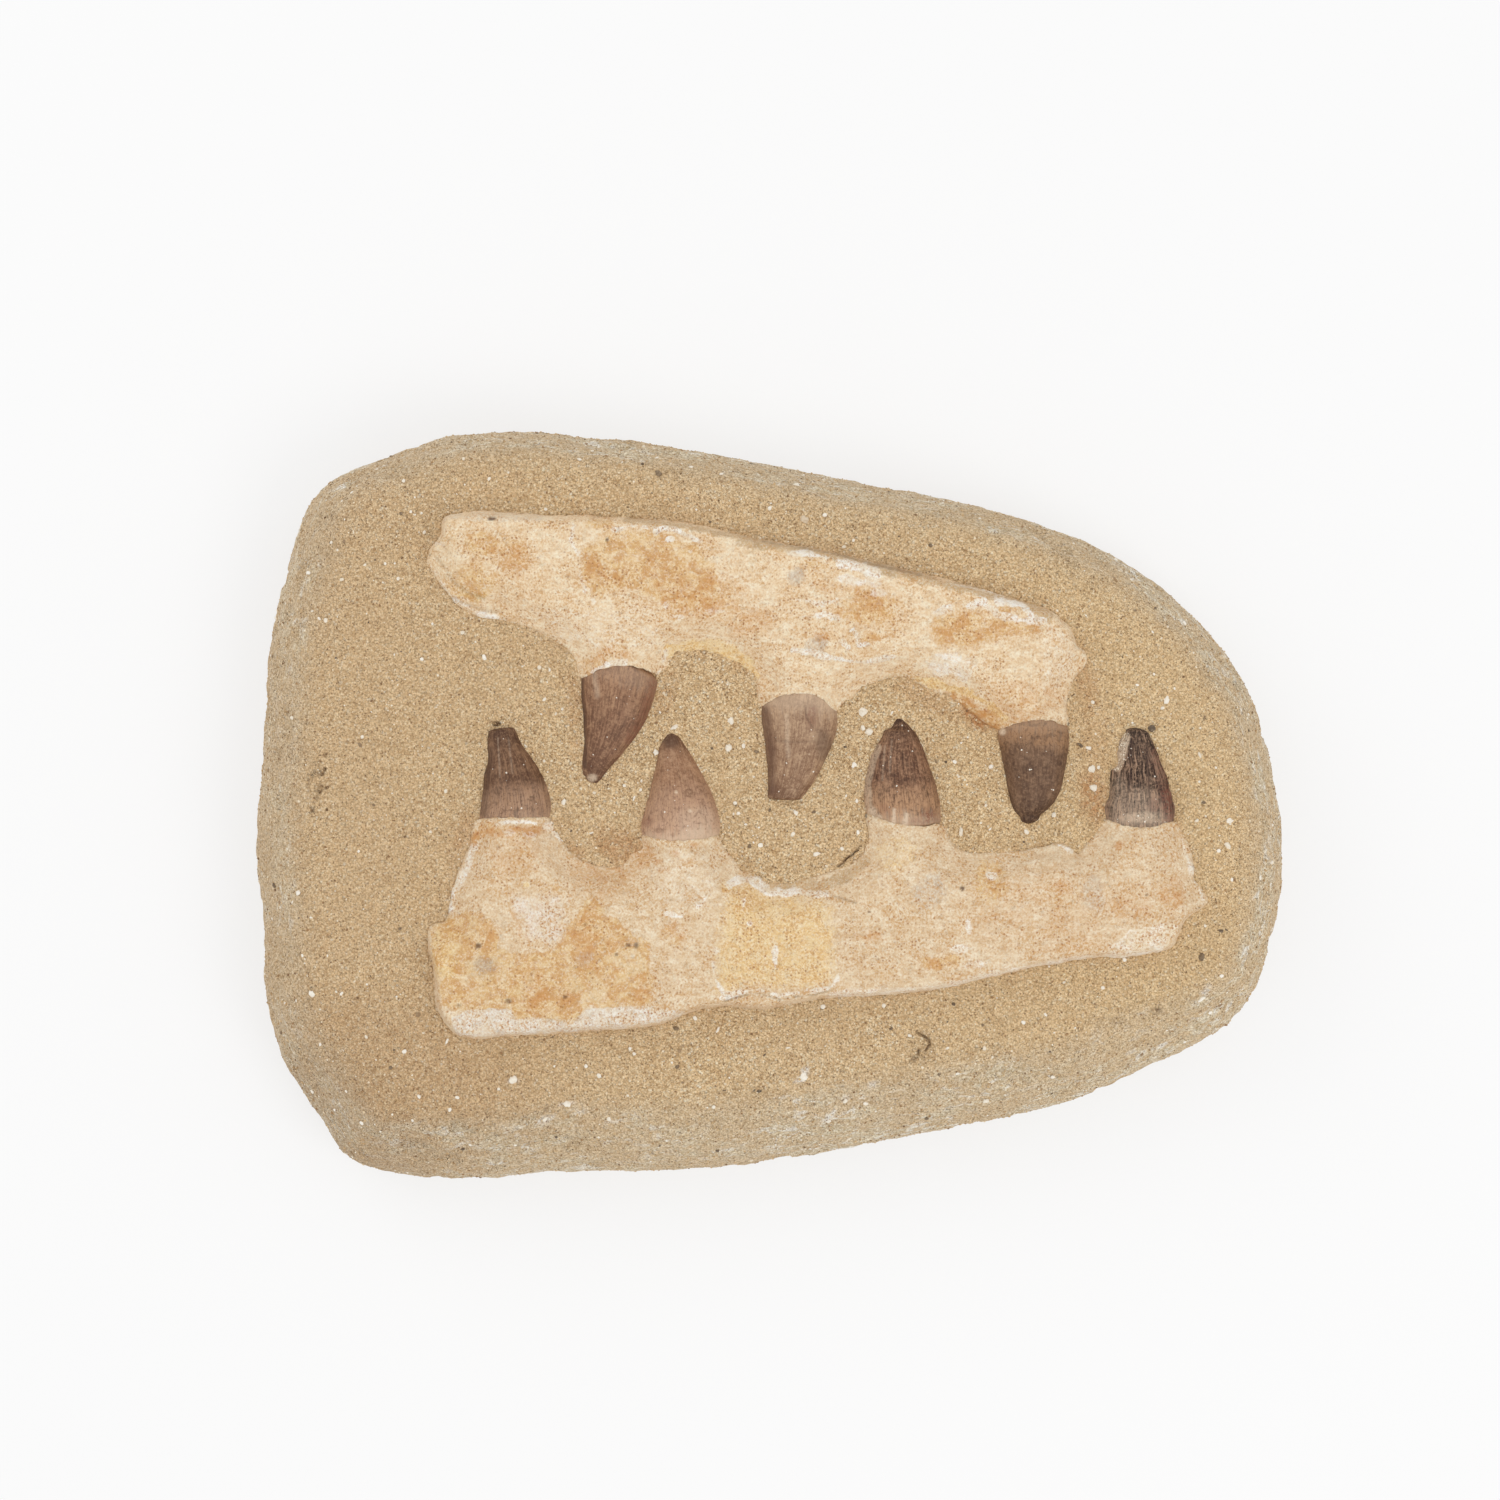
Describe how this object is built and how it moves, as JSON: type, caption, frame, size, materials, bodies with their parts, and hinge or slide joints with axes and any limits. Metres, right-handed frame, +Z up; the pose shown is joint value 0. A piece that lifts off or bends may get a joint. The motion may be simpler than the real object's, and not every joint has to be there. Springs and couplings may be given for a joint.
{
  "type": "fossil mosasaur jaw",
  "caption": "Upper and lower jaw pieces of a mosasaur with conical teeth that interlock, lying in relief in a rounded block of sandy matrix with a flat base.",
  "frame": {"origin": "middle of the bounding box, on the surface that the block lies on", "axes": "+X along the jaws towards their narrower end, +Y from the lower jaw to the upper jaw, +Z up"},
  "size_m": [0.3162, 0.23, 0.0601],
  "materials": {
    "matrix": "rough, sandy",
    "bone": "rough, chalky",
    "enamel": "satin"
  },
  "bodies": {
    "root": {"matrix_block": "matrix", "upper_jaw": "bone", "lower_jaw": "bone"}
  },
  "joints": []
}
